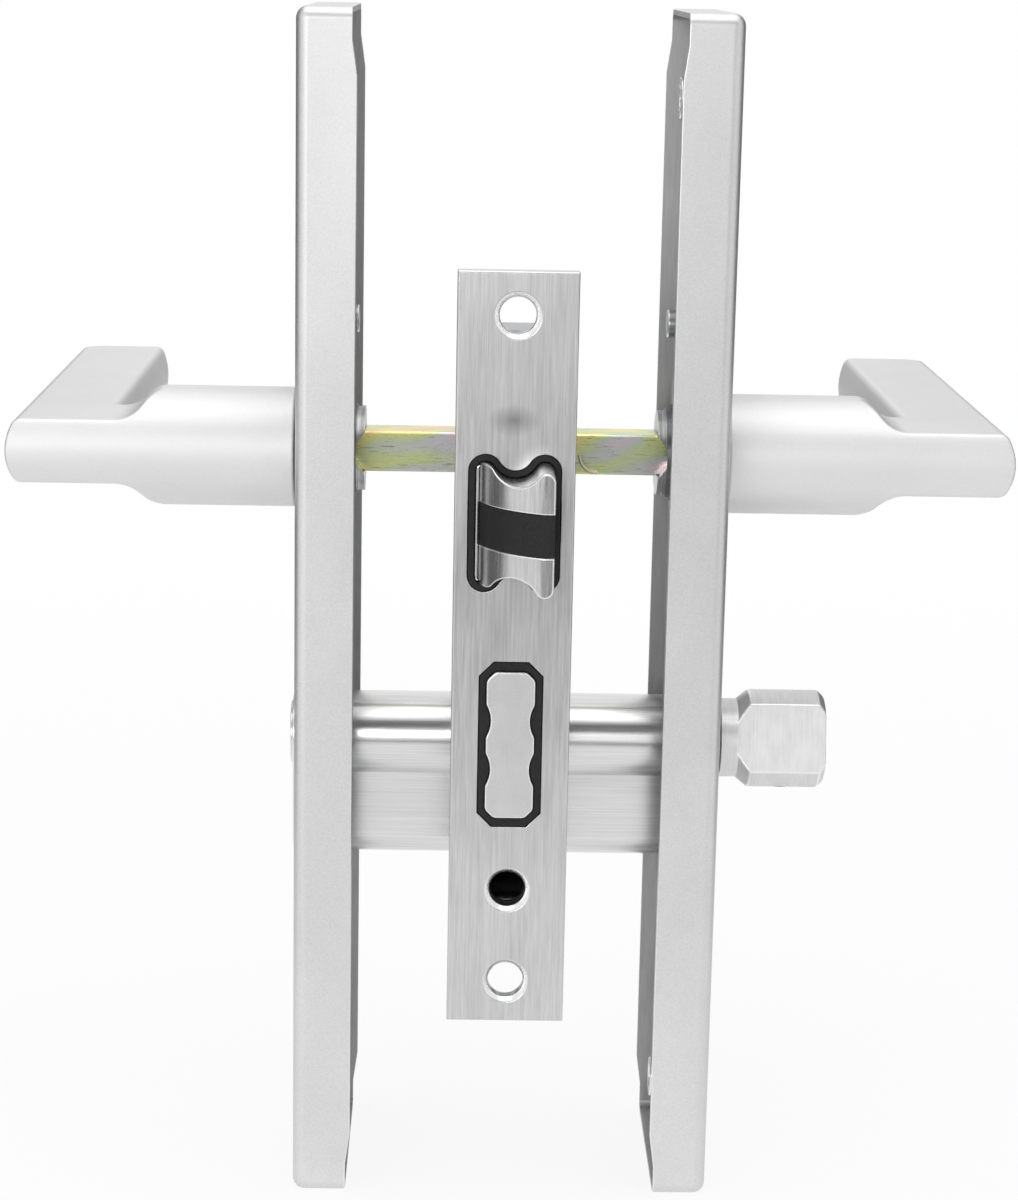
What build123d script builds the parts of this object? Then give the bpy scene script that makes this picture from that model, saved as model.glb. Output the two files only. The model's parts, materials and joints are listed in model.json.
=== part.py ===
import math
import os

from build123d import *

# Main sizes in millimetres, with the origin midway between the faceplate's screws
backset = 45.0
spindle_z = 31.0
centre_distance = 58.0
cylinder_z = spindle_z - centre_distance

# Cutters run past the faces they open, and wide ones pass right through a piece
past = 1.0
wide = 60.0

# Gaps between pieces that touch, slide or turn on each other
slip_gap = 0.05
running_gap = 0.06
loose_gap = 0.1

# Door leaf and long plates
door_thickness = 60.0
plate_height = 233.0
plate_width = 45.0
plate_depth = 11.4
plate_sheet = 1.2
plate_bend = 2.4
rim_dip = 0.9
rim_dip_start = 12.5
rim_dip_full = 6.0
plate_screw_margin = 16.5
plate_screw_z = plate_height / 2 - plate_screw_margin
rim_x = door_thickness / 2
face_x = rim_x + plate_depth
inner_x = face_x - plate_sheet

# Screw posts and spring posts inside the plates
post_r = 4.0
clearance_hole_r = 2.25
post_thread_r = 1.65
countersink_depth = 0.7
countersink_r = clearance_hole_r + countersink_depth
left_post_setback = 1.5
right_post_setback = 1.1
spring_post_r = 2.7
spring_post_rise = 25.5

# Levers
neck_r = 11.75
hub_r = 8.35
bush_flange = 0.6
bush_inset = 0.4
bush_wall = 0.95
bush_r = hub_r + bush_wall
neck_start_x = face_x + bush_flange + loose_gap
neck_length = 25.1
neck_end_x = face_x + neck_length
neck_taper = 10.5
bar_start_x = neck_end_x + neck_taper
bar_half = 6.3
arm_step = 1.6
arm_inner_x = bar_start_x + arm_step
arm_width = 17.4
arm_edge_x = arm_inner_x + arm_width
arm_crown = 1.8
arm_inner_crown = 1.5
arm_nose_r = 2.0
arm_crown_x = arm_edge_x + arm_crown
arm_reach = 97.5
arm_corner_r = 8.0
lever_edge_r = 1.0
hub_proud = 1.4
hub_end_x = rim_x - hub_proud
hub_nick_depth = 3.0
hub_nick_half = 4.3
hub_line_count = 3
hub_line_pitch = 1.2
hub_line_width = 0.45
hub_line_depth = 0.2
grub_offset = 9.6
grub_x = face_x + grub_offset
grub_r = 2.5
grub_inset = 1.0
grub_key = 2.5
grub_key_depth = 2.2

# Spindle
spindle_half = 4.0
spindle_grip = 18.6
spindle_end_x = face_x + spindle_grip
spindle_bevel = 0.35
socket_half = spindle_half + loose_gap
socket_end_gap = 2.0
socket_end_x = spindle_end_x + socket_end_gap
burr_x = 16.9
burr_drop = 0.1
burr_r = 3.4
burr_wire_r = 0.45

# Return springs in their cups
cup_margin = 3.3
cup_r = plate_width / 2 - plate_sheet - cup_margin
cup_sheet = 0.9
cup_depth = 6.8
cover_sheet = 1.0
cover_gap = 0.35
spring_gap = 0.6
spring_strip = 0.7
spring_hub_gap = 1.65
spring_inner_r = hub_r + spring_hub_gap
spring_cup_gap = 0.5
spring_outer_r = cup_r - cup_sheet - spring_cup_gap
spring_turns = 2.25
spring_steps = 14
slot_half = 0.9
slot_depth = 1.6
slot_gap = 0.2
spring_tab_gap = 0.4
washer_rim = 1.25
washer_r = hub_r + washer_rim
washer_sheet = 1.0
ring_rim = 0.5
ring_r = hub_r + ring_rim
ring_sheet = 1.1
ring_gap_half = 3.0
groove_depth = 0.8
groove_r = hub_r - groove_depth
groove_gap = 0.02

# Latch
latch_drop = 6.0
latch_z = spindle_z - latch_drop
latch_width = 14.2
latch_height = 22.8
latch_horn_r = 1.7
latch_bite_depth = 3.0
latch_rim = 0.55
latch_step = 0.6
latch_throw = 12.0
latch_tip_x = 5.1
latch_bow_x = -0.9
latch_bow_y = -8.16
latch_edge = 0.2
latch_body_y = 8.0
insert_half = 3.85
insert_floor_y = 1.0
insert_gap = 0.03
sleeve_wall = 1.2
sleeve_gap = 0.1
latch_sleeve_end_y = 7.4
tail_half = 3.0
tail_riser = 2.5
tail_rise = 21.2
tail_top_z = spindle_z + tail_rise
tail_bar = 2.5
tail_bar_z = tail_top_z - tail_bar
tail_lug = 3.4
tail_lug_lift = 0.9

# Lock case, just wide enough for the latch and its sleeve
case_sheet = 1.2
case_sleeve_gap = 0.2
case_inner_half = latch_width / 2 + sleeve_gap + sleeve_wall + case_sleeve_gap
case_half = case_inner_half + case_sheet
case_back = 18.0
case_back_y = backset + case_back
case_rise = 23.0
case_top_z = spindle_z + case_rise
case_drop = 29.0
case_bottom_z = cylinder_z - case_drop
tongue_half = 1.5
tongue_rise = 6.0
case_post_r = 2.5
case_post_inset = 5.0
case_post_rise = 6.0
case_screw_r = 1.2
case_screw_length = 7.8
case_screw_head_r = 2.3
case_front_post_y = 12.0
case_front_post_rise = 4.4
case_posts = [
    (case_back_y - case_post_inset, spindle_z + case_post_rise),
    (case_back_y - case_post_rise, case_bottom_z + case_post_rise),
    (case_front_post_y, case_bottom_z + case_front_post_rise),
]
rest_pin_r = 1.5
rest_pin_back = 8.6
rest_pin_y = backset - rest_pin_back
rest_pin_drop = 10.5
rest_pin_z = spindle_z - rest_pin_drop

# Leaf springs of the latch and the deadbolt
leaf_thick = 0.6
latch_leaf_gap = 0.3
latch_leaf_top = 3.0
latch_leaf_kink_y = 1.2
latch_leaf_kink_z = 1.0
latch_leaf_bend_y = 11.5
latch_leaf_bend_r = 2.0
latch_leaf_bend_rise = 1.2
latch_leaf_drop = 16.2
latch_leaf_pin_gap = 0.15
bolt_leaf_rise = 9.0
bolt_leaf_root = 14.0
bolt_leaf_knee = 8.0
bolt_leaf_slope_end = -6.0
bolt_leaf_touch = -8.5
bolt_leaf_toe = -11.0
bolt_leaf_lift = 1.6

# Faceplate
faceplate_rim = 1.2
faceplate_width = 2 * (case_half + faceplate_rim)
faceplate_height = 142.0
faceplate_thick = 3.0
faceplate_edge = 0.3
faceplate_screw_margin = 8.0
faceplate_screw_z = faceplate_height / 2 - faceplate_screw_margin
faceplate_hole_r = 3.35
faceplate_sink_r = 4.3
faceplate_sink_depth = 0.9
cylinder_screw_drop = 18.0

# Follower turned by the spindle
follower_r = 8.4
follower_end_gap = 0.2
journal_r = 7.9
lever_travel_deg = 45.0
arm_tip_r = 2.5
arm_half = 3.0
drive_gap = 0.15

# Deadbolt
bolt_rise = 10.2
bolt_z = cylinder_z + bolt_rise
bolt_width = 9.0
bolt_waist = 7.3
bolt_height = 28.0
bolt_bevel = 1.6
bolt_scoop_half = 3.1
bolt_corner_r = 1.5
bolt_proud = 0.6
bolt_back_y = 24.0
bolt_throw = 14.0
bolt_sleeve_width = 11.9
bolt_sleeve_height = 31.7
bolt_sleeve_bevel = 2.7
bolt_sleeve_end_y = 8.0
bolt_tail_half = 2.5
bolt_tail_top = 19.0
bolt_tail_rise = 9.4
bolt_tail_margin = 3.5
notch_half = 2.5
notch_clear = 0.5

# Profile cylinder
cylinder_r = 8.5
cylinder_foot_half = 5.0
cylinder_drop = 24.5
cylinder_proud = 1.1
cylinder_half_length = face_x + cylinder_proud
cylinder_thread_r = 2.1
profile_gap = 0.25
plug_r = 6.4
key_plug_proud = 0.5
turn_plug_proud = 0.3
cam_r = 7.9
cam_half = 4.9
cam_reach = 13.2
cam_tip_r = 1.75
cam_room_half = 6.2
cam_room_r = 14.0
stub_r = 4.1
stub_flat = 3.0
clip_sheet = 0.8
clip_r = 7.3
clip_offset = 0.2
clip_start_x = cam_half + clip_offset
clip_groove_r = 5.4
clip_mouth_half = 2.5
keyway_half = 1.1
keyway_top = 2.6
keyway_inset = 8.0
keyway_end_x = -cam_half - keyway_inset

# Thumb turn
collar_r = 7.9
collar_gap = 0.4
collar_start_x = cylinder_half_length + collar_gap
collar_length = 3.5
collar_end_x = collar_start_x + collar_length
knob_r = 9.8
cone_length = 2.3
cone_end_x = collar_end_x + cone_length
grip_length = 15.2
knob_end_x = cone_end_x + grip_length
knob_bevel = 1.2
knob_flat = 7.1
knob_tilt = -14.0
drive_half = 3.0
drive_setback = 6.6
drive_end_x = knob_end_x - drive_setback
drive_end_gap = 0.3
drive_fit = 0.08
turn_pin_setback = 2.0
turn_pin_x = drive_end_x - turn_pin_setback
turn_pin_r = 1.5

# Angles and places that follow from the sizes above
follower_arm_r = latch_throw / (2 * math.sin(math.radians(lever_travel_deg / 2)))
cam_tip_centre = cam_reach - cam_tip_r
cam_swing_deg = math.degrees(math.asin(bolt_throw / 2 / cam_tip_centre))
cover_x = inner_x - cup_depth
washer_x = cover_x - cover_sheet
ring_x = washer_x - washer_sheet


def block(x0, x1, y0, y1, z0, z1):
    return Pos((x0 + x1) / 2, (y0 + y1) / 2, (z0 + z1) / 2) * Box(x1 - x0, y1 - y0, z1 - z0)


def rod_x(radius, x0, x1, y, z):
    return Pos((x0 + x1) / 2, y, z) * Rot(0, 90, 0) * Cylinder(radius, x1 - x0)


def rod_y(radius, y0, y1, x, z):
    return Pos(x, (y0 + y1) / 2, z) * Rot(90, 0, 0) * Cylinder(radius, y1 - y0)


def cone_x(r0, r1, x0, x1, y, z):
    return Pos((x0 + x1) / 2, y, z) * Rot(0, 90, 0) * Cone(r0, r1, x1 - x0)


def tube_x(outer, inner, x0, x1, y, z):
    return rod_x(outer, x0, x1, y, z) - rod_x(inner, x0 - past, x1 + past, y, z)


def along_x(face, x0, x1):
    return extrude(Plane.YZ.offset(x0) * face, x1 - x0)


def along_y(face, y0, y1):
    return extrude(Plane.XZ.offset(-y1) * face, y1 - y0)


def outline(points):
    return make_face(Polyline(*points, close=True))


def strip(points, thick):
    # Closed outline of a bent flat strip, drawn along its middle line
    left = []
    right = []
    for i, (y, z) in enumerate(points):
        y0, z0 = points[max(i - 1, 0)]
        y1, z1 = points[min(i + 1, len(points) - 1)]
        length = math.hypot(y1 - y0, z1 - z0)
        dy = -(z1 - z0) / length * thick / 2
        dz = (y1 - y0) / length * thick / 2
        left.append((y + dy, z + dz))
        right.append((y - dy, z - dz))
    return outline(left + right[::-1])


def group(solids):
    return solids[0] if len(solids) == 1 else Compound(solids)


def other_side(shape):
    return group([mirror(solid, about=Plane.YZ) for solid in shape.solids()])


def profile_face(grow):
    # Section of the profile cylinder around its plug axis
    radius = cylinder_r + grow
    half = cylinder_foot_half + grow
    foot_end = cylinder_drop - cylinder_foot_half
    foot = Pos(0, -foot_end / 2) * Rectangle(2 * half, foot_end)
    face = Circle(radius) + foot + Pos(0, -foot_end) * Circle(half)
    return Pos(backset, cylinder_z) * face


def profile_hole(x0, x1):
    return along_x(profile_face(profile_gap), x0, x1)


def tray(depth_start, wall, bend):
    half_w = plate_width / 2 - wall
    half_h = plate_height / 2 - wall
    body = block(depth_start, face_x - wall, backset - half_w, backset + half_w, -half_h, half_h)
    face = body.faces().sort_by(Axis.X)[-1]
    corners = body.edges().filter_by(Axis.X)
    return fillet(corners + face.edges(), bend)


def rim_cut():
    # The rim steps back a little at both ends of the plate
    end_z = plate_height / 2
    points = [
        (rim_x - past, end_z - rim_dip_start),
        (rim_x, end_z - rim_dip_start),
        (rim_x + rim_dip, end_z - rim_dip_full),
        (rim_x + rim_dip, end_z + past),
        (rim_x - past, end_z + past),
    ]
    cut = along_y(outline(points), backset - plate_width, backset + plate_width)
    return cut + mirror(cut, about=Plane.XY)


def backplate(screw_holes):
    body = tray(rim_x, 0, plate_bend)
    body -= tray(rim_x - past, plate_sheet, plate_bend - plate_sheet)
    body -= rim_cut()
    body -= rod_x(bush_r + slip_gap, inner_x - past, face_x + past, backset, spindle_z)
    body -= profile_hole(inner_x - past, face_x + past)
    if screw_holes:
        sink_x = face_x - countersink_depth
        for z in (-plate_screw_z, plate_screw_z):
            body -= rod_x(clearance_hole_r, inner_x - past, face_x + past, backset, z)
            body -= cone_x(clearance_hole_r, countersink_r, sink_x, face_x, backset, z)
    return body


def screw_posts(hole_r, setback):
    heights = (-plate_screw_z, plate_screw_z)
    return group([tube_x(post_r, hole_r, rim_x + setback, inner_x, backset, z) for z in heights])


def spring_post():
    return rod_x(spring_post_r, rim_x, inner_x, backset, spindle_z + spring_post_rise)


def neck_bush():
    flange = rod_x(neck_r - bush_inset, face_x, face_x + bush_flange, backset, spindle_z)
    sleeve = rod_x(bush_r, inner_x - cup_sheet, face_x, backset, spindle_z)
    return flange + sleeve - rod_x(hub_r + running_gap, 0, wide, backset, spindle_z)


def spring_cup():
    cup = rod_x(cup_r, cover_x, inner_x, backset, spindle_z)
    cup -= rod_x(cup_r - cup_sheet, cover_x - past, inner_x - cup_sheet, backset, spindle_z)
    return cup - rod_x(bush_r + slip_gap, 0, wide, backset, spindle_z)


def cup_cover():
    return tube_x(cup_r, hub_r + cover_gap, washer_x, cover_x, backset, spindle_z)


def return_spring():
    # Spiral strip, its inner tab in the slot of the hub and its outer end against the cup
    count = int(spring_turns * spring_steps)
    points = [(0, hub_r - slot_depth + spring_tab_gap)]
    for i in range(count + 1):
        share = i / count
        radius = spring_inner_r + (spring_outer_r - spring_inner_r) * share
        angle = math.radians(90 + 360 * spring_turns * share)
        points.append((radius * math.cos(angle), radius * math.sin(angle)))
    face = Pos(backset, spindle_z) * strip(points, spring_strip)
    return along_x(face, cover_x + spring_gap, inner_x - cup_sheet - spring_gap)


def washer():
    return tube_x(washer_r, hub_r + loose_gap, ring_x, washer_x, backset, spindle_z)


def retaining_ring():
    ring = tube_x(ring_r, groove_r + slip_gap, ring_x - ring_sheet, ring_x, backset, spindle_z)
    mouth_y = (backset - ring_gap_half, backset + ring_gap_half)
    return ring - block(0, wide, *mouth_y, spindle_z - 2 * ring_r, spindle_z)


def s_curve(side):
    # Two equal arcs that lead from the round neck to the flat bar
    run = bar_start_x - neck_end_x
    drop = neck_r - bar_half
    radius = (run**2 + drop**2) / (4 * drop)
    half_turn = math.asin(run / 2 / radius) / 2
    bow = radius * (1 - math.cos(half_turn))
    shift = radius * math.sin(half_turn)
    start = (neck_end_x, side * neck_r)
    middle = ((neck_end_x + bar_start_x) / 2, side * (neck_r + bar_half) / 2)
    end = (bar_start_x, side * bar_half)
    first = ThreePointArc(start, (neck_end_x + shift, side * (neck_r - bow)), middle)
    second = ThreePointArc(middle, (bar_start_x - shift, side * (bar_half + bow)), end)
    return [first, second]


def lever_side_face():
    # Side profile from the neck to the crowned outer side, its outer corners softened
    lines = s_curve(1) + s_curve(-1)
    for side in (1, -1):
        lines.append(Line((neck_start_x, side * neck_r), (neck_end_x, side * neck_r)))
        lines.append(Line((bar_start_x, side * bar_half), (arm_edge_x, side * bar_half)))
    lines.append(Line((neck_start_x, -neck_r), (neck_start_x, neck_r)))
    lines.append(ThreePointArc((arm_edge_x, bar_half), (arm_crown_x, 0), (arm_edge_x, -bar_half)))
    face = make_face(lines)
    corners = face.vertices().filter_by_position(Axis.X, arm_edge_x - slip_gap, arm_edge_x + slip_gap)
    return Pos(0, spindle_z) * fillet(corners, arm_nose_r)


def lever_arm():
    # Flat bar, crowned towards the door as it is outside, with a softened free end
    far_x = arm_crown_x + past
    top = (arm_inner_x, bar_half)
    low = (arm_inner_x, -bar_half)
    sides = Polyline(top, (far_x, bar_half), (far_x, -bar_half), low)
    face = make_face([ThreePointArc(top, (arm_inner_x - arm_inner_crown, 0), low)] + sides.edges())
    corners = face.vertices().filter_by_position(Axis.X, arm_inner_x - slip_gap, arm_inner_x + slip_gap)
    arm = along_y(Pos(0, spindle_z) * fillet(corners, arm_nose_r), backset, backset + arm_reach)
    rim = arm.faces().sort_by(Axis.Y)[-1].edges().sort_by(Axis.X)[:-1]
    return fillet(rim, lever_edge_r)


def lever_grip():
    end_y = backset + arm_reach
    neck = rod_x(neck_r, neck_start_x, arm_crown_x + past, backset, spindle_z)
    body = (neck + lever_arm()) & along_y(lever_side_face(), backset - wide, end_y + past)
    corner_x = arm_crown_x - arm_corner_r
    corner_y = end_y - arm_corner_r
    corner_z = (spindle_z - neck_r, spindle_z + neck_r)
    corner = block(corner_x, arm_crown_x + past, corner_y, end_y + past, *corner_z)
    return body - (corner - Pos(corner_x, corner_y, spindle_z) * Cylinder(arm_corner_r, 2 * neck_r))


def hub_cuts():
    # Ring groove, turned lines, spindle socket, spring slot and the nick in the near side of the hub
    groove_x = (ring_x - ring_sheet - slip_gap, ring_x + groove_gap)
    cuts = tube_x(hub_r + past, groove_r, *groove_x, backset, spindle_z)
    for i in range(1, hub_line_count + 1):
        end_x = hub_end_x + hub_line_pitch * i
        line_x = (end_x - hub_line_width, end_x)
        cuts += tube_x(hub_r + past, hub_r - hub_line_depth, *line_x, backset, spindle_z)
    at_axis = Pos(0, backset, spindle_z)
    half = socket_half
    cuts += at_axis * block(hub_end_x - past, socket_end_x, -half, half, -half, half)
    slot_x = (cover_x - slot_gap, inner_x - cup_sheet)
    cuts += at_axis * block(*slot_x, -slot_half, slot_half, hub_r - slot_depth, hub_r + past)
    nick = outline([(0, hub_nick_half), (hub_nick_depth, 0), (0, -hub_nick_half)])
    cuts += along_y(Pos(hub_end_x, spindle_z) * nick, backset - hub_r - past, backset)
    return cuts


def lever():
    body = lever_grip() + rod_x(hub_r, hub_end_x, neck_start_x + past, backset, spindle_z)
    body -= hub_cuts()
    length = neck_r - socket_half + 2 * past
    middle_z = spindle_z - (neck_r + socket_half) / 2
    return body - Pos(grub_x, backset, middle_z) * Cylinder(grub_r + slip_gap, length)


def grub_screw():
    low = spindle_z - neck_r + grub_inset
    high = spindle_z - spindle_half - slip_gap
    body = Pos(grub_x, backset, (low + high) / 2) * Cylinder(grub_r, high - low)
    return body - Pos(grub_x, backset, low) * extrude(RegularPolygon(grub_key / 2, 6), grub_key_depth)


def spindle():
    # Square bar with a curl of metal staked up on its near face
    bar = Box(2 * spindle_end_x, 2 * spindle_half, 2 * spindle_half)
    bar = chamfer(bar.edges().filter_by(Axis.X), spindle_bevel)
    reach = burr_r + burr_wire_r
    curl = Rot(90, 0, 0) * Torus(burr_r, burr_wire_r)
    curl &= block(-reach, 0, -reach, reach, -reach, 0)
    bar += Pos(burr_x, -spindle_half, -burr_drop) * curl
    return Pos(0, backset, spindle_z) * bar


def latch_face(grow):
    # Bone outline: four round horns, and at each end a round bite that runs smoothly into them
    horn_x = latch_width / 2 - latch_horn_r
    horn_z = latch_height / 2 - latch_horn_r
    rise = latch_horn_r - latch_bite_depth
    bite_r = (horn_x**2 + rise**2 - latch_horn_r**2) / (2 * latch_bite_depth)
    meet = math.atan2(rise + bite_r, horn_x)
    radius = latch_horn_r + grow
    meet_x = horn_x - radius * math.cos(meet)
    meet_z = horn_z + radius * math.sin(meet)
    side_x = horn_x + radius
    bow_x = horn_x + radius * math.sin(meet / 2)
    bow_z = horn_z + radius * math.cos(meet / 2)
    bite_z = latch_height / 2 - latch_bite_depth + grow
    lines = [Line((x, -horn_z), (x, horn_z)) for x in (-side_x, side_x)]
    for end in (-1, 1):
        lines.append(ThreePointArc((-meet_x, end * meet_z), (0, end * bite_z), (meet_x, end * meet_z)))
        for side in (-1, 1):
            start = (side * side_x, end * horn_z)
            middle = (side * bow_x, end * bow_z)
            lines.append(ThreePointArc(start, middle, (side * meet_x, end * meet_z)))
    return Pos(0, latch_z) * make_face(lines)


def latch_head():
    # The striking side is a convex bow that starts a step below the rim and ends at the tip
    body = along_y(latch_face(0), -latch_throw, latch_body_y)
    edge = -latch_width / 2 - latch_edge
    rim = latch_rim - latch_width / 2
    tip = (latch_tip_x, -latch_throw)
    end_y = -latch_throw - past
    bow = ThreePointArc((rim, latch_step), (latch_bow_x, latch_bow_y), tip)
    rest = Polyline(tip, (latch_tip_x, end_y), (edge, end_y), (edge, 0), (rim, 0), (rim, latch_step))
    cut = extrude(make_face([bow] + rest.edges()), latch_height, both=True)
    return body - Pos(0, 0, latch_z) * cut


def band(grow):
    half = insert_half - grow
    start = latch_rim - latch_width / 2 + grow
    return block(start, wide, -wide, insert_floor_y - grow, latch_z - half, latch_z + half)


def latch_sleeve():
    outer = along_y(latch_face(sleeve_wall + sleeve_gap), 0, latch_sleeve_end_y)
    return outer - along_y(latch_face(sleeve_gap), -past, latch_sleeve_end_y + past)


def follower_tip():
    turn = math.radians(lever_travel_deg / 2)
    return (-follower_arm_r * math.sin(turn), follower_arm_r * math.cos(turn))


def follower():
    half = case_inner_half - follower_end_gap
    body = rod_x(follower_r, -half, half, backset, spindle_z)
    body += rod_x(journal_r, -case_half, case_half, backset, spindle_z)
    arm = Pos(0, follower_arm_r / 2) * Rectangle(2 * arm_tip_r, follower_arm_r)
    arm = Rot(0, 0, lever_travel_deg / 2) * (arm + Pos(0, follower_arm_r) * Circle(arm_tip_r))
    body += along_x(Pos(backset, spindle_z) * arm, -arm_half, arm_half)
    return body - Pos(0, backset, spindle_z) * Box(wide, 2 * socket_half, 2 * socket_half)


def latch_tail():
    tip_y, tip_z = follower_tip()
    lug_y = backset + tip_y + arm_tip_r + drive_gap
    lug_z = spindle_z + tip_z + tail_lug_lift
    low_z = latch_z - latch_height / 4
    end_y = lug_y + tail_lug
    riser = block(-tail_half, tail_half, latch_body_y, latch_body_y + tail_riser, low_z, tail_top_z)
    bar = block(-tail_half, tail_half, latch_body_y, end_y, tail_bar_z, tail_top_z)
    lug = block(-tail_half, tail_half, lug_y, end_y, lug_z, tail_top_z)
    return riser + bar + lug


def latch_spring():
    # Hairpin leaf between the latch and a fixed pin, its bend hanging low in the case
    start_y = latch_body_y + tail_riser + latch_leaf_gap
    bend_y = start_y + latch_leaf_bend_y
    bend_z = rest_pin_z - latch_leaf_drop
    side_z = bend_z + latch_leaf_bend_rise
    end_y = rest_pin_y - rest_pin_r - leaf_thick / 2 - latch_leaf_pin_gap
    points = [
        (start_y, latch_z + latch_leaf_top),
        (start_y + latch_leaf_kink_y, latch_z - latch_leaf_kink_z),
        (bend_y - latch_leaf_bend_r, side_z),
        (bend_y, bend_z),
        (bend_y + latch_leaf_bend_r, side_z),
        (end_y, rest_pin_z - rest_pin_r),
        (end_y, rest_pin_z + rest_pin_r),
    ]
    return along_x(strip(points, leaf_thick), -tail_half, tail_half)


def bolt_face(grow):
    # Three broad lobes with two shallow waists between them
    face = Rectangle(bolt_width + 2 * grow, bolt_height + 2 * grow)
    face = chamfer(face.vertices(), bolt_bevel)
    scoop = (bolt_width - bolt_waist) / 2
    radius = (scoop**2 + bolt_scoop_half**2) / (2 * scoop)
    for z in (-bolt_height / 6, bolt_height / 6):
        for side in (-1, 1):
            face -= Pos(side * (bolt_waist / 2 + radius), z) * Circle(radius - grow)
    return Pos(0, bolt_z) * fillet(face.vertices(), bolt_corner_r + grow)


def deadbolt():
    return along_y(bolt_face(0), -bolt_proud, bolt_back_y)


def bolt_tail():
    # Flat tail with the notch that the cam enters from below
    low = cylinder_z + bolt_tail_rise
    notch_y = backset + bolt_throw / 2
    end_y = notch_y + notch_half + bolt_tail_margin
    half = bolt_tail_half
    tail = block(-half, half, bolt_back_y, end_y, low, cylinder_z + bolt_tail_top)
    top = cylinder_z + cam_reach + notch_clear
    return tail - block(-wide, wide, notch_y - notch_half, notch_y + notch_half, low - past, top)


def bolt_opening(grow, y0, y1):
    face = Rectangle(bolt_sleeve_width + 2 * grow, bolt_sleeve_height + 2 * grow)
    return along_y(Pos(0, bolt_z) * chamfer(face.vertices(), bolt_sleeve_bevel), y0, y1)


def bolt_sleeve():
    body = bolt_opening(-sleeve_gap, 0, bolt_sleeve_end_y)
    return body - along_y(bolt_face(sleeve_gap), -past, bolt_sleeve_end_y + past)


def bolt_spring():
    # Leaf that presses on the tail and holds the deadbolt at either end of its throw
    top = cylinder_z + bolt_tail_top
    touch_z = top + leaf_thick / 2 + loose_gap
    points = [
        (backset + bolt_leaf_root, top + bolt_leaf_rise),
        (backset + bolt_leaf_knee, top + bolt_leaf_rise),
        (backset + bolt_leaf_slope_end, touch_z + leaf_thick),
        (backset + bolt_leaf_touch, touch_z),
        (backset + bolt_leaf_toe, top + bolt_leaf_lift),
    ]
    return along_x(strip(points, leaf_thick), -bolt_tail_half, bolt_tail_half)


def faceplate():
    half_w = faceplate_width / 2
    half_h = faceplate_height / 2
    body = block(-half_w, half_w, 0, faceplate_thick, -half_h, half_h)
    body = chamfer(body.faces().sort_by(Axis.Y)[0].edges(), faceplate_edge)
    body -= along_y(latch_face(sleeve_wall + 2 * sleeve_gap), -past, faceplate_thick + past)
    body -= bolt_opening(0, -past, faceplate_thick + past)
    for z in (faceplate_screw_z, -faceplate_screw_z, cylinder_z - cylinder_screw_drop):
        body -= rod_y(faceplate_hole_r, -past, faceplate_thick + past, 0, z)
        sink = Cone(faceplate_hole_r, faceplate_sink_r, faceplate_sink_depth)
        body -= Pos(0, faceplate_sink_depth / 2, z) * Rot(90, 0, 0) * sink
    return body


def case_side_holes(x0, x1):
    return rod_x(journal_r + running_gap, x0, x1, backset, spindle_z) + profile_hole(x0, x1)


def case_shell():
    # Pressed tray with its posts, open towards the cover
    front = faceplate_thick
    inner_front = front + case_sheet
    inner_z = (case_bottom_z + case_sheet, case_top_z - case_sheet)
    body = block(-case_half, case_inner_half, front, case_back_y, case_bottom_z, case_top_z)
    body -= block(-case_inner_half, case_half, inner_front, case_back_y - case_sheet, *inner_z)
    tongue_z = (case_top_z - past, case_top_z + tongue_rise)
    body += block(-tongue_half, tongue_half, front, inner_front, *tongue_z)
    body -= along_y(latch_face(sleeve_wall + 2 * sleeve_gap), front - past, inner_front + past)
    body -= bolt_opening(0, front - past, inner_front + past)
    screw_z = cylinder_z - cylinder_screw_drop
    body -= rod_y(faceplate_hole_r, front - past, inner_front + past, 0, screw_z)
    body -= case_side_holes(-case_half - past, -case_inner_half + past)
    for y, z in case_posts:
        body += tube_x(case_post_r, case_screw_r, -case_inner_half - slip_gap, case_inner_half, y, z)
    return body + rod_x(rest_pin_r, -case_inner_half - slip_gap, case_inner_half, rest_pin_y, rest_pin_z)


def case_cover():
    body = block(case_inner_half, case_half, faceplate_thick, case_back_y, case_bottom_z, case_top_z)
    body -= case_side_holes(case_inner_half - past, case_half + past)
    hole_r = case_screw_r + loose_gap
    for y, z in case_posts:
        body -= rod_x(hole_r, case_inner_half - past, case_half + past, y, z)
        body -= cone_x(hole_r, case_screw_head_r + loose_gap, case_inner_half, case_half, y, z)
    return body


def case_screws():
    end_x = case_half - slip_gap
    shank_r = case_screw_r - slip_gap
    screws = []
    for y, z in case_posts:
        head = cone_x(shank_r, case_screw_head_r, case_inner_half + loose_gap, end_x, y, z)
        screws.append(head + rod_x(shank_r, end_x - case_screw_length, end_x - slip_gap, y, z))
    return group(screws)


def cylinder_body():
    body = along_x(profile_face(0), -cylinder_half_length, cylinder_half_length)
    body -= rod_x(plug_r + running_gap, -wide, wide, backset, cylinder_z)
    body -= rod_x(cam_room_r, -cam_room_half, cam_room_half, backset, cylinder_z)
    return body - rod_y(cylinder_thread_r, 0, 2 * backset, 0, cylinder_z - cylinder_screw_drop)


def plug(end_x):
    body = rod_x(plug_r, cam_half + loose_gap, end_x, backset, cylinder_z)
    groove_end = clip_start_x + clip_sheet + 2 * slip_gap
    return body - tube_x(plug_r + past, clip_groove_r, clip_start_x, groove_end, backset, cylinder_z)


def plug_clip():
    start = clip_start_x + slip_gap
    ring = tube_x(clip_r, clip_groove_r + slip_gap, start, start + clip_sheet, backset, cylinder_z)
    mouth_y = (backset - clip_mouth_half, backset + clip_mouth_half)
    return ring - block(0, wide, *mouth_y, cylinder_z - 2 * clip_r, cylinder_z)


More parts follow.
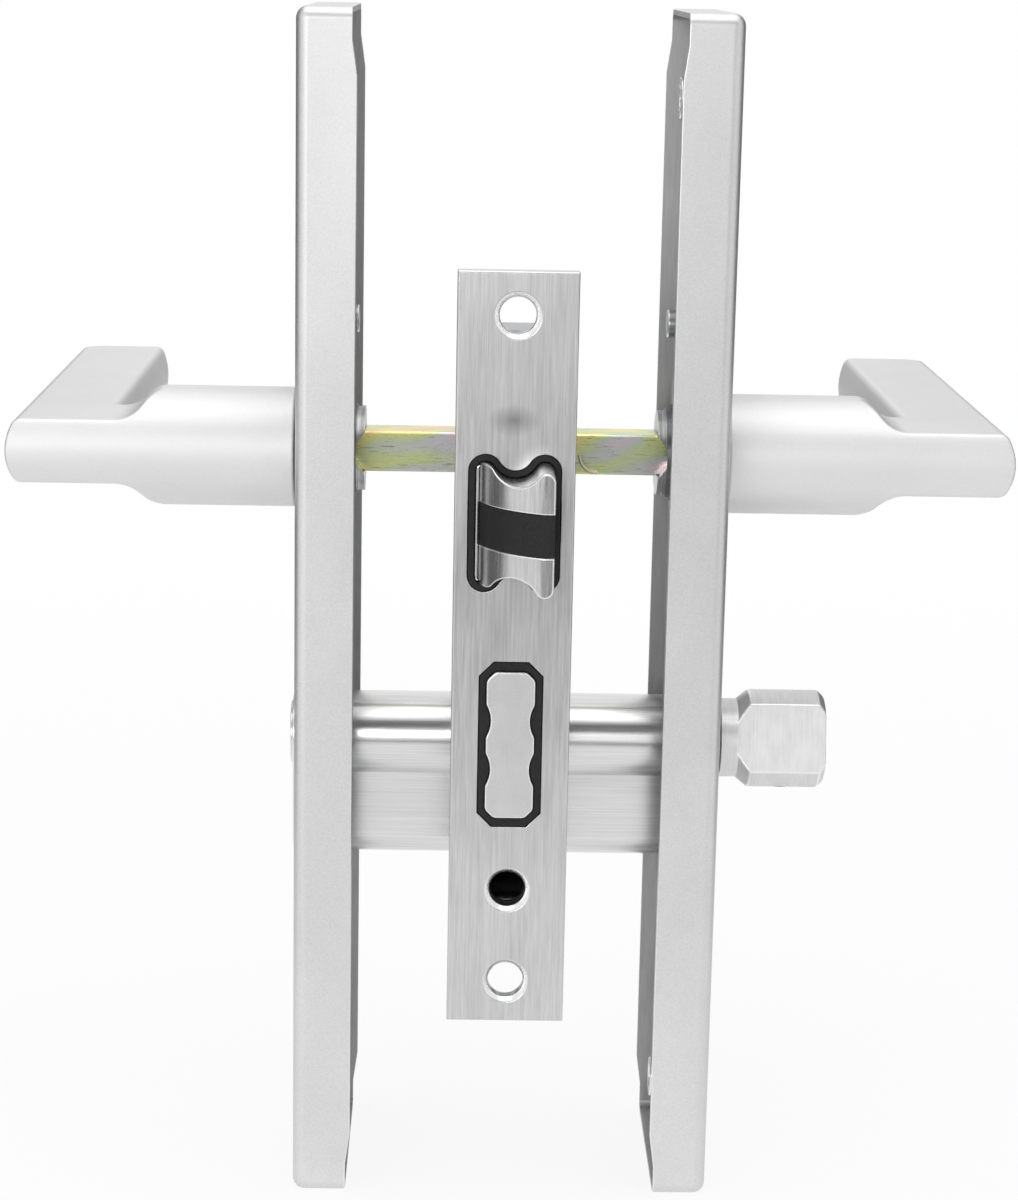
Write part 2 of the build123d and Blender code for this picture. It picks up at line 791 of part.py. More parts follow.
def key_plug():
    body = other_side(plug(cylinder_half_length + key_plug_proud))
    slot_y = (backset - keyway_half, backset + keyway_half)
    return body - block(-wide, keyway_end_x, *slot_y, cylinder_z - plug_r - past, cylinder_z + keyway_top)


def drive_stub(gap, start_x):
    # Flatted end that carries the cam
    stub = rod_x(stub_r + gap, start_x, clip_start_x, backset, cylinder_z)
    flat = cylinder_z + stub_flat + gap
    return stub - block(-wide, wide, 0, 2 * backset, flat, flat + stub_r)


def drive_tail(gap, end_x):
    half = drive_half + gap
    tail = block(cylinder_half_length, end_x, -half, half, -half, half)
    return Pos(0, backset, cylinder_z) * Rot(knob_tilt, 0, 0) * tail


def turn_plug():
    body = plug(cylinder_half_length + turn_plug_proud) + drive_tail(0, drive_end_x)
    return body + drive_stub(0, loose_gap - cam_half)


def cam():
    nose = Pos(0, cam_tip_centre / 2) * Rectangle(2 * cam_tip_r, cam_tip_centre)
    nose = Rot(0, 0, -cam_swing_deg) * (nose + Pos(0, cam_tip_centre) * Circle(cam_tip_r))
    face = Pos(backset, cylinder_z) * (Circle(cam_r) + nose)
    return along_x(face, -cam_half, cam_half) - drive_stub(running_gap, -cam_half - past)


def thumb_turn():
    # Turned knob with a bevelled end, flattened on two sides for the fingers
    bevel_x = knob_end_x - knob_bevel
    body = rod_x(collar_r, collar_start_x, collar_end_x, backset, cylinder_z)
    body += cone_x(collar_r, knob_r, collar_end_x, cone_end_x, backset, cylinder_z)
    body += rod_x(knob_r, cone_end_x, bevel_x, backset, cylinder_z)
    body += cone_x(knob_r, knob_r - knob_bevel, bevel_x, knob_end_x, backset, cylinder_z)
    flat = block(collar_end_x, knob_end_x + past, knob_flat, 2 * knob_r, -knob_r, knob_r)
    for turn in (knob_tilt, knob_tilt + 180):
        body -= Pos(0, backset, cylinder_z) * Rot(turn, 0, 0) * flat
    body -= drive_tail(drive_fit, drive_end_x + drive_end_gap)
    return body - turn_pin(slip_gap)


def turn_pin(gap):
    length = knob_r - drive_half - loose_gap + 2 * gap
    pin = Pos(turn_pin_x, 0, -(knob_r + drive_half) / 2) * Cylinder(turn_pin_r + gap, length)
    return Pos(0, backset, cylinder_z) * Rot(knob_tilt, 0, 0) * pin


def build_side():
    return {
        "lever": lever(),
        "neck_bush": neck_bush(),
        "spring_cup": spring_cup(),
        "cup_cover": cup_cover(),
        "return_spring": return_spring(),
        "nylon_washer": washer(),
        "retaining_ring": retaining_ring(),
        "grub_screw": grub_screw(),
        "spring_post": spring_post(),
    }


def build_lock():
    head = latch_head()
    return {
        "spindle": spindle(),
        "faceplate": faceplate(),
        "case_shell": case_shell(),
        "case_cover": case_cover(),
        "case_screws": case_screws(),
        "follower": follower(),
        "latch_bolt": head - band(0),
        "latch_insert": head & band(insert_gap),
        "latch_sleeve": latch_sleeve(),
        "latch_tail": latch_tail(),
        "latch_spring": latch_spring(),
        "deadbolt": deadbolt(),
        "deadbolt_tail": bolt_tail(),
        "deadbolt_sleeve": bolt_sleeve(),
        "deadbolt_spring": bolt_spring(),
        "cylinder_body": cylinder_body(),
        "key_plug": key_plug(),
        "key_plug_clip": other_side(plug_clip()),
        "turn_plug": turn_plug(),
        "turn_plug_clip": plug_clip(),
        "cam": cam(),
        "thumb_turn": thumb_turn(),
        "thumb_turn_pin": turn_pin(0),
    }


def build_all():
    nodes = build_lock()
    for name, shape in build_side().items():
        nodes["right_" + name] = shape
        nodes["left_" + name] = other_side(shape)
    nodes["right_backplate"] = backplate(True)
    nodes["left_backplate"] = other_side(backplate(False))
    nodes["right_screw_posts"] = screw_posts(clearance_hole_r, right_post_setback)
    nodes["left_screw_posts"] = other_side(screw_posts(post_thread_r, left_post_setback))
    return nodes


# The pieces are drawn from the front of the faceplate, and the origin lies where its countersinks end
origin = Pos(0, -faceplate_sink_depth, 0)
os.makedirs("parts", exist_ok=True)
for node, shape in build_all().items():
    export_step(origin * shape, f"parts/{node}.step")
    print(node, len(shape.solids()), round(shape.volume, 1))
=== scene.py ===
import json
import math

import bmesh
import bpy
from mathutils import Matrix, Vector


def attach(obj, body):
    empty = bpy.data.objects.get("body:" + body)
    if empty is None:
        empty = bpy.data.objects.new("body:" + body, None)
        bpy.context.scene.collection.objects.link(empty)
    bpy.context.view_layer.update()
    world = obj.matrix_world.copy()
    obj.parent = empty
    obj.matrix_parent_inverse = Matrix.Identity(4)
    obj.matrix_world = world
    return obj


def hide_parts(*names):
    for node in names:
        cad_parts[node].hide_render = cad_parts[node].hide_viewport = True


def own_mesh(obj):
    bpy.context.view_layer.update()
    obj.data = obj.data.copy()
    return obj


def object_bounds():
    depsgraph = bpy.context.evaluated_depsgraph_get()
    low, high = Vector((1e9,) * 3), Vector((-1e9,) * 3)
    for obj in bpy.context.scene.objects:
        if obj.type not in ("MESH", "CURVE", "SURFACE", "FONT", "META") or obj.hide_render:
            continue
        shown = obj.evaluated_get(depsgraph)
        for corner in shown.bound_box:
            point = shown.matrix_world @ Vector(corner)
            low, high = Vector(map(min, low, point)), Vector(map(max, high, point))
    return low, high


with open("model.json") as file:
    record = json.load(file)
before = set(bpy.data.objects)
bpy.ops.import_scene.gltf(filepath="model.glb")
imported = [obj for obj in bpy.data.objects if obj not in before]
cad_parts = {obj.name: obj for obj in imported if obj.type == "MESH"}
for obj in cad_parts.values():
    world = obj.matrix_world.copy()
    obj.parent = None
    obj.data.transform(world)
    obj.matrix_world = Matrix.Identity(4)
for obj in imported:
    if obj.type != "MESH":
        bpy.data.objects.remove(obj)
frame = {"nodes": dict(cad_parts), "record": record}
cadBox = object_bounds()
nodes = frame["nodes"]
bodyOf = {n: body for body, names in frame["record"]["behaviour"]["bodies"].items() for n in names}
mm = 0.001
print("frame loaded:", len(nodes), "nodes")


def linear(hexColour):
    # sRGB hex to the linear values that Blender's sockets take
    parts = [int(hexColour[i:i + 2], 16) / 255 for i in (1, 3, 5)]
    return tuple(c / 12.92 if c <= 0.04045 else ((c + 0.055) / 1.055) ** 2.4 for c in parts) + (1.0,)


def add(tree, kind, settings=None, links=None):
    # one node with its settings (sockets or attributes) and what feeds it
    node = tree.nodes.new(kind)
    for key, value in (settings or {}).items():
        if isinstance(key, int) or key in node.inputs:
            node.inputs[key].default_value = value
        else:
            setattr(node, key, value)
    for key, source in (links or {}).items():
        tree.links.new(source, node.inputs[key])
    return node


def ramp(node, stops):
    # stops as (place, hex colour)
    band = node.color_ramp
    while len(band.elements) < len(stops):
        band.elements.new(0.5)
    for element, (place, colour) in zip(band.elements, stops):
        element.position = place
        element.color = linear(colour)
    return node.outputs["Color"]


def newMaterial(name, shaderValues):
    material = bpy.data.materials.new(name)
    material.use_nodes = True
    tree = material.node_tree
    shader = tree.nodes["Principled BSDF"]
    for key, value in shaderValues.items():
        shader.inputs[key].default_value = value
    return material, tree, shader


def grain(tree, cellMm, detail=2.0, rough=0.55, slant=0.0):
    # noise whose cells measure cellMm along X, Y and Z of the object, slanted about Y
    place = add(tree, "ShaderNodeTexCoord")
    turned = add(tree, "ShaderNodeMapping", {"Rotation": (0, math.radians(slant), 0)},
                 {"Vector": place.outputs["Object"]})
    scaled = add(tree, "ShaderNodeMapping", {"Scale": [1 / (c * mm) for c in cellMm]},
                 {"Vector": turned.outputs["Vector"]})
    noise = add(tree, "ShaderNodeTexNoise", {"Scale": 1.0, "Detail": detail, "Roughness": rough},
                {"Vector": scaled.outputs["Vector"]})
    return noise.outputs["Fac"]


def finishSurface(tree, shader, pattern, look):
    # roughness and height follow one pattern, as the tool marks of the finish do
    rough = add(tree, "ShaderNodeMapRange", {"To Min": look["rough"][0], "To Max": look["rough"][1]},
                {"Value": pattern})
    tree.links.new(rough.outputs["Result"], shader.inputs["Roughness"])
    bump = add(tree, "ShaderNodeBump", {"Strength": look["strength"], "Distance": look["heightMm"] * mm},
               {"Height": pattern})
    tree.links.new(bump.outputs["Normal"], shader.inputs["Normal"])


def metalFinish(name, look):
    # fine tool marks over a slow drift in tone, both measured in mm along X, Y and Z
    # real marks of these tools are 0.05 to 0.2 mm apart, and they are drawn coarser so that they show
    material, tree, shader = newMaterial(name, {"Metallic": 1.0})
    fine = grain(tree, look["fineMm"], 3.0, 0.65)
    broad = grain(tree, look["broadMm"])
    tone = add(tree, "ShaderNodeMix", {"data_type": "FLOAT", "Factor": look["broadShare"]},
               {"A": fine, "B": broad})
    node = add(tree, "ShaderNodeValToRGB", links={"Fac": tone.outputs["Result"]})
    colour = ramp(node, [(0.3, look["deep"]), (0.7, look["pale"])])
    tree.links.new(colour, shader.inputs["Base Color"])
    finishSurface(tree, shader, fine, look)
    return material, tree, shader, colour


# aluminium sheet, bead blasted and clear anodised: even pale grey with fine sparkle and no direction
plateLook = {"pale": "#e6e6e6", "deep": "#d4d4d4", "fineMm": (0.35, 0.35, 0.35), "broadMm": (14, 14, 20),
             "broadShare": 0.3, "rough": (0.4, 0.54), "heightMm": 0.02, "strength": 0.45}
blastedPlate = metalFinish("blastedAnodisedPlate", plateLook)[0]

# cast aluminium, blasted finer and anodised: whiter and softer than the plates, with no direction
leverLook = {"pale": "#f1f1f1", "deep": "#e8e8e8", "fineMm": (0.3, 0.3, 0.3), "broadMm": (16, 16, 12),
             "broadShare": 0.3, "rough": (0.54, 0.64), "heightMm": 0.01, "strength": 0.35}
blastedLever = metalFinish("blastedAnodisedLever", leverLook)[0]

# brass bar, nickel plated and drawn: lines along X and a clear highlight
cylinderLook = {"pale": "#e9e9e9", "deep": "#d0d0d0", "fineMm": (26, 0.3, 0.3), "broadMm": (50, 2.6, 2.6),
                "broadShare": 0.35, "rough": (0.16, 0.28), "heightMm": 0.012, "strength": 0.35}
drawnNickel = metalFinish("drawnNickelBrass", cylinderLook)[0]

# brass, turned and nickel plated: fine rings across the axis, pale and bright
turnLook = {"pale": "#eeeeee", "deep": "#d8d8d8", "fineMm": (0.3, 9, 9), "broadMm": (3, 16, 5),
            "broadShare": 0.45, "rough": (0.42, 0.54), "heightMm": 0.012, "strength": 0.35}
turnedNickel = metalFinish("turnedNickelBrass", turnLook)[0]

# zinc die casting, ground upright on the striking side and nickel plated: darker, with a keen highlight
latchLook = {"pale": "#dcdcdc", "deep": "#b6b6b6", "fineMm": (0.4, 0.4, 7), "broadMm": (2.4, 2.4, 9),
             "broadShare": 0.4, "rough": (0.2, 0.32), "heightMm": 0.01, "strength": 0.35}
groundNickel = metalFinish("groundNickelZinc", latchLook)[0]

# zinc die casting, blasted and nickel plated: flat mid grey
boltLook = {"pale": "#dfdfdf", "deep": "#cbcbcb", "fineMm": (0.3, 0.3, 0.3), "broadMm": (5, 5, 7),
            "broadShare": 0.4, "rough": (0.34, 0.48), "heightMm": 0.02, "strength": 0.5}
blastedNickel = metalFinish("blastedNickelZinc", boltLook)[0]

# pressed and turned steel with bright zinc: cloudy blue-grey spangle
zincLook = {"pale": "#c2c4c6", "deep": "#96989b", "fineMm": (1.1, 1.1, 1.1), "broadMm": (6, 6, 6),
            "broadShare": 0.4, "rough": (0.26, 0.44), "heightMm": 0.008, "strength": 0.4}
brightZinc = metalFinish("brightZincSteel", zincLook)[0]

# rolled spring strip and sintered pieces: bare darker steel
springLook = {"pale": "#9a9b9d", "deep": "#6e6f72", "fineMm": (0.7, 0.7, 2.5), "broadMm": (5, 5, 5),
              "broadShare": 0.3, "rough": (0.3, 0.45), "heightMm": 0.006, "strength": 0.4}
rolledSteel = metalFinish("rolledSpringSteel", springLook)[0]

# stainless strip brushed along its length: fine upright lines, and one soft painted shade above the latch,
# a dark spot standing for the shade of a dent
faceplateLook = {"pale": "#e0e0e0", "deep": "#c0c0c0", "fineMm": (0.26, 0.26, 10),
                 "broadMm": (2.4, 2.4, 15), "broadShare": 0.3, "rough": (0.26, 0.4), "heightMm": 0.008,
                 "strength": 0.4, "shadeAtMm": (-0.4, -0.9, 44.0), "shadeSizeMm": (5.0, 4.0, 3.0),
                 "shadeColour": "#7e7e7e", "shadeShare": 0.7}


def brushedStainless(look):
    material, tree, shader, colour = metalFinish("brushedStainless", look)
    # a dark spot painted into the colour above the latch: painted shade
    place = add(tree, "ShaderNodeTexCoord")
    shift = [-a / s for a, s in zip(look["shadeAtMm"], look["shadeSizeMm"])]
    scale = [1 / (s * mm) for s in look["shadeSizeMm"]]
    near = add(tree, "ShaderNodeMapping", {"Location": shift, "Scale": scale},
               {"Vector": place.outputs["Object"]})
    spot = add(tree, "ShaderNodeTexGradient", {"gradient_type": "SPHERICAL"},
               {"Vector": near.outputs["Vector"]})
    share = add(tree, "ShaderNodeMath", {"operation": "MULTIPLY", 1: look["shadeShare"]},
                {0: spot.outputs["Fac"]})
    paintedShade = add(tree, "ShaderNodeMix", {"data_type": "RGBA", 7: linear(look["shadeColour"])},
               {0: share.outputs[0], 6: colour})
    tree.links.new(paintedShade.outputs[2], shader.inputs["Base Color"])
    return material


stainless = brushedStainless(faceplateLook)

# steel with zinc and yellow chromate: a thin film whose thickness drifts, so straw, olive, lilac and pink
# run into each other along the bar, under fine dark drawing lines
spindleLook = {"filmMm": (24, 6, 6), "filmSlant": 16, "lineMm": (3.5, 0.3, 0.3), "rough": (0.22, 0.36),
               "heightMm": 0.006, "strength": 0.4, "lineColour": "#807a5c", "lineShare": 0.85,
               "lineFrom": 0.6, "lineFull": 0.72,
               "film": [(0.33, "#f0cda4"), (0.39, "#f3df98"), (0.46, "#dcde9b"), (0.52, "#ced9a5"),
                        (0.57, "#cad1c2"), (0.62, "#d2cdd3"), (0.69, "#eccbc4")]}


def yellowPassivate(look):
    material, tree, shader = newMaterial("yellowPassivatedZinc", {"Metallic": 1.0})
    film = grain(tree, look["filmMm"], 1.5, 0.5, look["filmSlant"])
    colour = ramp(add(tree, "ShaderNodeValToRGB", links={"Fac": film}), look["film"])
    lines = grain(tree, look["lineMm"], 3.0, 0.6)
    # only the crests of the pattern show as lines
    crests = {"From Min": look["lineFrom"], "From Max": look["lineFull"], "To Max": look["lineShare"]}
    share = add(tree, "ShaderNodeMapRange", crests, {"Value": lines})
    drawn = add(tree, "ShaderNodeMix", {"data_type": "RGBA", 7: linear(look["lineColour"])},
                {0: share.outputs["Result"], 6: colour})
    tree.links.new(drawn.outputs[2], shader.inputs["Base Color"])
    finishSurface(tree, shader, lines, look)
    return material


passivatedZinc = yellowPassivate(spindleLook)

# moulded nylon: near black, faint mottling and a soft sheen
nylonLook = {"pale": "#202021", "deep": "#131314", "grainMm": 0.6, "rough": (0.42, 0.56),
             "heightMm": 0.01, "strength": 0.4, "shader": {"IOR": 1.53, "Specular IOR Level": 0.3}}
# steel with black oxide: as dark, a little smoother
oxideLook = {"pale": "#262628", "deep": "#161617", "grainMm": 0.5, "rough": (0.32, 0.46),
             "heightMm": 0.005, "strength": 0.4, "shader": {"Metallic": 0.3}}


def darkFinish(name, look):
    material, tree, shader = newMaterial(name, look["shader"])
    mottle = grain(tree, [look["grainMm"]] * 3)
    node = add(tree, "ShaderNodeValToRGB", links={"Fac": mottle})
    tree.links.new(ramp(node, [(0.3, look["deep"]), (0.7, look["pale"])]), shader.inputs["Base Color"])
    finishSurface(tree, shader, mottle, look)
    return material


blackNylon = darkFinish("mouldedBlackNylon", nylonLook)
blackOxide = darkFinish("blackOxideSteel", oxideLook)

# the rounded edges in a paler, smoother metal: a painted highlight, brighter than the face beside it
edgeHighlightLook = {"pale": "#f8f8f8", "deep": "#ececec", "fineMm": (0.5, 0.5, 0.5), "broadMm": (6, 6, 6),
                  "broadShare": 0.4, "rough": (0.28, 0.4), "heightMm": 0.004, "strength": 0.3}
paintedHighlightEdge = metalFinish("paintedHighlightEdge", edgeHighlightLook)[0]

# the lever's hub inside the plate, left as turned: bright and dark rings round its axis
hubLook = {"pale": "#ffffff", "deep": "#7c7c7c", "fineMm": (0.7, 40, 40), "broadMm": (1.6, 8, 8),
           "broadShare": 0.25, "rough": (0.2, 0.4), "heightMm": 0.05, "strength": 0.6, "toMm": 42.05}
turnedHub = metalFinish("turnedBareAluminium", hubLook)[0]

# the plates' inner side, in the hollow: painted shade, a darker grey than the blasted outside, with a
# duller grain drawn upright
insideLook = {"pale": "#cecece", "deep": "#b4b4b4", "fineMm": (0.5, 0.5, 9), "broadMm": (12, 12, 30),
              "broadShare": 0.45, "rough": (0.4, 0.55), "heightMm": 0.01, "strength": 0.4,
              "fromDoorMm": 40.3, "halfWideMm": 21.6, "halfHighMm": 115.6, "midMm": 44.1}
shadedInside = metalFinish("shadedAluminiumInside", insideLook)[0]

# where the punch raised the spindle's metal the film is broken: cream and bright
curlLook = {"pale": "#fffae8", "deep": "#fff0c4", "fineMm": (0.4, 0.4, 0.4), "broadMm": (2, 2, 2),
            "broadShare": 0.4, "rough": (0.55, 0.7), "heightMm": 0.006, "strength": 0.3, "beforeMm": 40.08}
stakedZinc = metalFinish("stakedBareZinc", curlLook)[0]

# the faceplate's countersinks, left smooth by the cutter: bright rings
sinkLook = {"pale": "#f6f6f6", "deep": "#dcdcdc", "fineMm": (0.4, 0.4, 0.4), "broadMm": (3, 3, 3),
            "broadShare": 0.4, "rough": (0.2, 0.32), "heightMm": 0.003, "strength": 0.3,
            "upMm": (63.0, -45.0, -63.0), "reachMm": 4.8, "depthMm": (-0.84, -0.06)}
cutStainless = metalFinish("cutBareStainless", sinkLook)[0]
print("materials made:", len(bpy.data.materials))

bySlot = {
    "satin_aluminium_plate": blastedPlate,
    "satin_aluminium_lever": blastedLever,
    "black_nylon": blackNylon,
    "zinc_plated_steel": brightZinc,
    "spring_steel": rolledSteel,
    "black_steel": blackOxide,
    "yellow_passivated_steel": passivatedZinc,
    "brushed_stainless": stainless,
    "nickel_plated_zinc": groundNickel,
    "satin_nickel_brass": drawnNickel,
    "sintered_steel": rolledSteel,
}
byNode = {"thumb_turn": turnedNickel, "deadbolt": blastedNickel}

for part in frame["record"]["subparts"]:
    material = byNode.get(part["node"], bySlot[part["material_slot"]])
    mesh = nodes[part["node"]].data
    mesh.materials.clear()
    mesh.materials.append(material)
print("materials on nodes")

# how far the making rounds the edges that the eye can reach, in mm, and whether the rounding gets a painted
# highlight
edgeLook = {
    "left_lever": (0.6, False), "right_lever": (0.6, False), "left_backplate": (0.2, True),
    "right_backplate": (0.2, True), "faceplate": (0.15, False), "latch_bolt": (0.35, True),
    "latch_insert": (0.12, False), "latch_sleeve": (0.22, False), "deadbolt": (0.3, True),
    "deadbolt_sleeve": (0.22, False), "thumb_turn": (0.25, True), "cylinder_body": (0.3, True),
    "key_plug": (0.25, True), "spindle": (0.1, False), "left_screw_posts": (0.3, True),
    "right_screw_posts": (0.3, True), "left_spring_post": (0.3, True), "right_spring_post": (0.3, True),
    "left_nylon_washer": (0.15, False), "right_nylon_washer": (0.15, False),
    "left_neck_bush": (0.15, False), "right_neck_bush": (0.15, False),
}
# angles past which an edge counts as sharp and past which shading breaks, and how the rounding is cut
edgeCut = {"sharpDeg": 24, "creaseDeg": 32, "flatDeg": 0.5, "mergeMm": 0.001, "steps": 3, "faceWeight": 90}


def inHub(place):
    return abs(place.x) < hubLook["toMm"] * mm


def inCurl(place):
    return place.y < curlLook["beforeMm"] * mm


# the hollow inside each plate, which takes the painted shade
def inShell(place):
    across = abs(place.y - insideLook["midMm"] * mm) < insideLook["halfWideMm"] * mm
    upright = abs(place.z) < insideLook["halfHighMm"] * mm
    return across and upright and abs(place.x) < insideLook["fromDoorMm"] * mm


def inSink(place):
    front, back = (y * mm for y in sinkLook["depthMm"])
    aside = min(math.hypot(place.x, place.z - up * mm) for up in sinkLook["upMm"])
    return front < place.y < back and aside < sinkLook["reachMm"] * mm


# parts of a piece that keep their own finish and their sharp edges
zones = {"left_lever": (inHub, turnedHub), "right_lever": (inHub, turnedHub),
         "left_backplate": (inShell, shadedInside), "right_backplate": (inShell, shadedInside),
         "spindle": (inCurl, stakedZinc), "faceplate": (inSink, cutStainless)}


def breakEdges(name, widthMm, bright):
    # a copy of the piece whose sharp edges are rounded, and which stands for it
    inZone, zoneFinish = zones.get(name, (lambda place: False, None))
    work = bmesh.new()
    work.from_mesh(nodes[name].data)
    low, high = ([pick(v.co[i] for v in work.verts) for i in range(3)] for pick in (min, max))
    bmesh.ops.remove_doubles(work, verts=work.verts, dist=edgeCut["mergeMm"] * mm)
    bmesh.ops.dissolve_limit(work, angle_limit=math.radians(edgeCut["flatDeg"]), verts=work.verts,
                             edges=work.edges)
    limit = math.radians(edgeCut["sharpDeg"])
    sharp = [e for e in work.edges if e.is_convex and e.calc_face_angle(0) > limit
             and not any(inZone(v.co) for v in e.verts)]
    made = bmesh.ops.bevel(work, geom=sharp, offset=widthMm * mm, offset_type="OFFSET",
                           segments=edgeCut["steps"], profile=0.5, affect="EDGES", clamp_overlap=False)
    for vert in work.verts:  # nothing leaves the box of the piece it stands for
        vert.co = [min(max(c, a), b) for c, a, b in zip(vert.co, low, high)]
    # with bright, the rounded faces take the painted highlight
    for face in made["faces"]:
        face.material_index = int(bright)
    for face in work.faces:
        if inZone(face.calc_center_median()):
            face.material_index = 1 + int(bright)
    mesh = bpy.data.meshes.new(name + "Edged")
    work.to_mesh(mesh)
    work.free()
    if "custom_normal" in mesh.attributes:
        mesh.attributes.remove(mesh.attributes["custom_normal"])
    mesh.polygons.foreach_set("use_smooth", [True] * len(mesh.polygons))
    mesh.set_sharp_from_angle(angle=math.radians(edgeCut["creaseDeg"]))
    mesh.materials.append(nodes[name].data.materials[0])
    # bright rounded edges take the painted highlight
    if bright:
        mesh.materials.append(paintedHighlightEdge)
    if zoneFinish:
        mesh.materials.append(zoneFinish)
    piece = bpy.data.objects.new(name + "Edged", mesh)
    bpy.context.scene.collection.objects.link(piece)
    # the broad faces stay flat to the eye right up to their rounded edges
    flat = piece.modifiers.new("flatFaces", "WEIGHTED_NORMAL")
    flat.weight = edgeCut["faceWeight"]
    flat.keep_sharp = True
    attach(piece, bodyOf[name])
    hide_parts(name)
    return len(sharp)


for name, (widthMm, bright) in edgeLook.items():
    print("edges rounded:", name, breakEdges(name, widthMm, bright))

# springs that move with the set: each spiral turns with the hub that holds its inner end, and the hairpin
# stays with the lockset
springMove = {"latchTravelMm": 12.0, "spirals": ("left_return_spring", "right_return_spring")}


def springPiece(name, body):
    piece = bpy.data.objects.new(name + "Sprung", nodes[name].data.copy())
    bpy.context.scene.collection.objects.link(piece)
    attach(piece, body)
    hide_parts(name)
    return piece


for name in springMove["spirals"]:
    springPiece(name, "levers")
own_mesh(springPiece("latch_spring", "lockset"))
print("springs ride with their joints")

ground = cadBox[0][2]


def flatPiece(name, cornersMm, material):
    # corners as X, Y and the height above the ground
    mesh = bpy.data.meshes.new(name)
    mesh.from_pydata([(x * mm, y * mm, ground + z * mm) for x, y, z in cornersMm], [], [(0, 1, 2, 3)])
    mesh.materials.append(material)
    piece = bpy.data.objects.new(name, mesh)
    bpy.context.scene.collection.objects.link(piece)
    return piece


def whiteShare(tree):
    # 1 for rays that should meet plain white: straight from the camera, mirrored or passed through
    rays = add(tree, "ShaderNodeLightPath")
    seen = add(tree, "ShaderNodeMath", {"operation": "MAXIMUM"},
               {0: rays.outputs["Is Camera Ray"], 1: rays.outputs["Is Glossy Ray"]})
    return add(tree, "ShaderNodeMath", {"operation": "MAXIMUM"},
               {0: seen.outputs[0], 1: rays.outputs["Is Transmission Ray"]}).outputs[0]


# matt white board: it shades near the object and runs out to plain white, so that no horizon shows
floorLook = {"colour": "#ffffff", "rough": 0.9, "halfMm": 6000.0, "fadeMm": 900.0, "whiteNear": 0.85}


def makeFloor():
    material, tree, shader = newMaterial("mattWhiteBoard", {
        "Base Color": linear(floorLook["colour"]), "Roughness": floorLook["rough"]})
    place = add(tree, "ShaderNodeTexCoord")
    near = add(tree, "ShaderNodeMapping", {"Scale": [1 / (floorLook["fadeMm"] * mm)] * 3},
               {"Vector": place.outputs["Object"]})
    disc = add(tree, "ShaderNodeTexGradient", {"gradient_type": "QUADRATIC_SPHERE"},
               {"Vector": near.outputs["Vector"]})
    glow = add(tree, "ShaderNodeMapRange", {"To Min": 1.0, "To Max": floorLook["whiteNear"]},
               {"Value": disc.outputs["Fac"]})
    share = add(tree, "ShaderNodeMath", {"operation": "MULTIPLY"},
                {0: whiteShare(tree), 1: glow.outputs["Result"]})
    white = add(tree, "ShaderNodeEmission", {"Color": (1, 1, 1, 1), "Strength": 1.0})
    both = add(tree, "ShaderNodeMixShader",
               links={0: share.outputs[0], 1: shader.outputs[0], 2: white.outputs[0]})
    tree.links.new(both.outputs[0], tree.nodes["Material Output"].inputs["Surface"])
    half = floorLook["halfMm"]
    flatPiece("floor", [(-half, -half, 0), (half, -half, 0), (half, half, 0), (-half, half, 0)], material)


# grey card out of the picture, which gives the metal its contrast: two beside and behind the object
# and one above the camera, each by its ends and the heights of its edges, and flat ones that stand
# for dark table beyond the pale sheet, by their left, right, front and back edges
cardLook = {
    "colour": "#747474", "rough": 0.9, "tableUpMm": 1.0,
    "upright": {"cardLeft": ((-800, 0), (-280, 850), 0, 866.5),
                "cardRight": ((800, 0), (280, 850), 0, 866.5),
                "cardFront": ((-1200, -1300), (1200, -1300), 606.5, 1616.5)},
    "table": {"tableFront": (-500, 500, -1500, -380), "tableLeft": (-1000, -300, 0, 900),
              "tableRight": (300, 1000, 0, 900)},
}


def makeCards():
    material = newMaterial("mattGreyCard", {
        "Base Color": linear(cardLook["colour"]), "Roughness": cardLook["rough"]})[0]
    for name, (start, end, low, high) in cardLook["upright"].items():
        card = flatPiece(name, [(*start, low), (*end, low), (*end, high), (*start, high)], material)
        card.visible_camera = False
    up = cardLook["tableUpMm"]
    for name, (left, right, front, back) in cardLook["table"].items():
        corners = [(left, front, up), (right, front, up), (right, back, up), (left, back, up)]
        table = flatPiece(name, corners, material)
        table.visible_camera = False  # met by mirrored rays alone, so that the floor stays even
        table.visible_diffuse = False
        table.visible_shadow = False


# soft boxes above and in front, aimed at the middle of the object, with places and sizes in metres
lampLook = {"boxAbove": {"at": (0.0, -0.12, 0.9), "size": (0.9, 0.8), "watts": 2.4},
            "boxFront": {"at": (-0.4, -1.15, 0.28), "size": (0.8, 0.42), "watts": 3.5}}


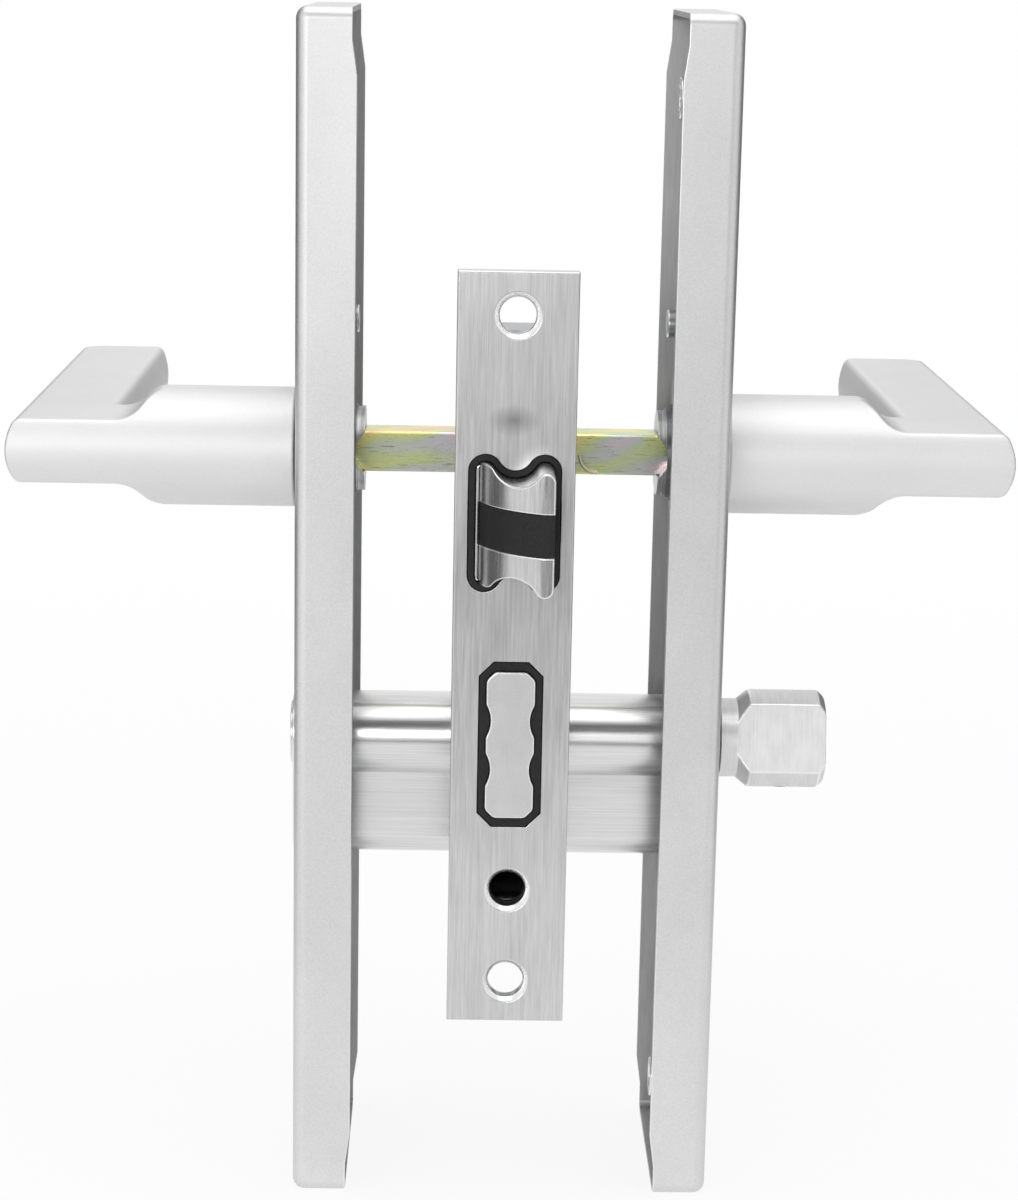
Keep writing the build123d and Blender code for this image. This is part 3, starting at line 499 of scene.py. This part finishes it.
def makeLamps():
    for name, look in lampLook.items():
        lamp = bpy.data.lights.new(name, "AREA")
        lamp.shape = "RECTANGLE"
        lamp.size, lamp.size_y = look["size"]
        lamp.energy = look["watts"]
        holder = bpy.data.objects.new(name, lamp)
        bpy.context.scene.collection.objects.link(holder)
        holder.location = look["at"]
        holder.rotation_euler = (-Vector(look["at"])).to_track_quat("-Z", "Y").to_euler()


# even white room, a little dimmer where it lights the object than where it is seen
roomLook = {"fill": 0.8}


def makeWorld():
    world = bpy.data.worlds.new("studioRoom")
    world.use_nodes = True
    tree = world.node_tree
    bpy.context.scene.world = world
    level = add(tree, "ShaderNodeMath", {"operation": "MAXIMUM", 1: roomLook["fill"]},
                {0: whiteShare(tree)})
    back = tree.nodes["Background"]
    back.inputs["Color"].default_value = (1, 1, 1, 1)
    tree.links.new(level.outputs[0], back.inputs["Strength"])


# place, turn and lens fitted to points measured in the picture
cameraLook = {"atMm": (-10.7, -511.0, 125.0), "yaw": 1.125, "pitch": 12.62, "roll": 1.12,
              "focalPx": 2852.6, "heightPx": 1200, "clipMm": 10.0}


def makeCamera():
    yaw, pitch, roll = (math.radians(cameraLook[k]) for k in ("yaw", "pitch", "roll"))
    ahead = Vector((math.sin(yaw) * math.cos(pitch), math.cos(yaw) * math.cos(pitch), -math.sin(pitch)))
    right = Vector((math.cos(yaw), -math.sin(yaw), 0))
    down = ahead.cross(right)
    side = right * math.cos(roll) - down * math.sin(roll)
    low = right * math.sin(roll) + down * math.cos(roll)
    camera = bpy.data.cameras.new("camera")
    camera.lens = camera.sensor_width * cameraLook["focalPx"] / cameraLook["heightPx"]
    camera.clip_start = cameraLook["clipMm"] * mm
    holder = bpy.data.objects.new("camera", camera)
    bpy.context.scene.collection.objects.link(holder)
    turn = Matrix((side, -low, -ahead)).transposed().to_4x4()
    holder.matrix_world = Matrix.Translation(Vector(cameraLook["atMm"]) * mm) @ turn
    bpy.context.scene.camera = holder


makeFloor()
makeCards()
makeLamps()
makeWorld()
makeCamera()
bpy.context.scene.view_settings.view_transform = "Standard"
print("studio and camera ready")
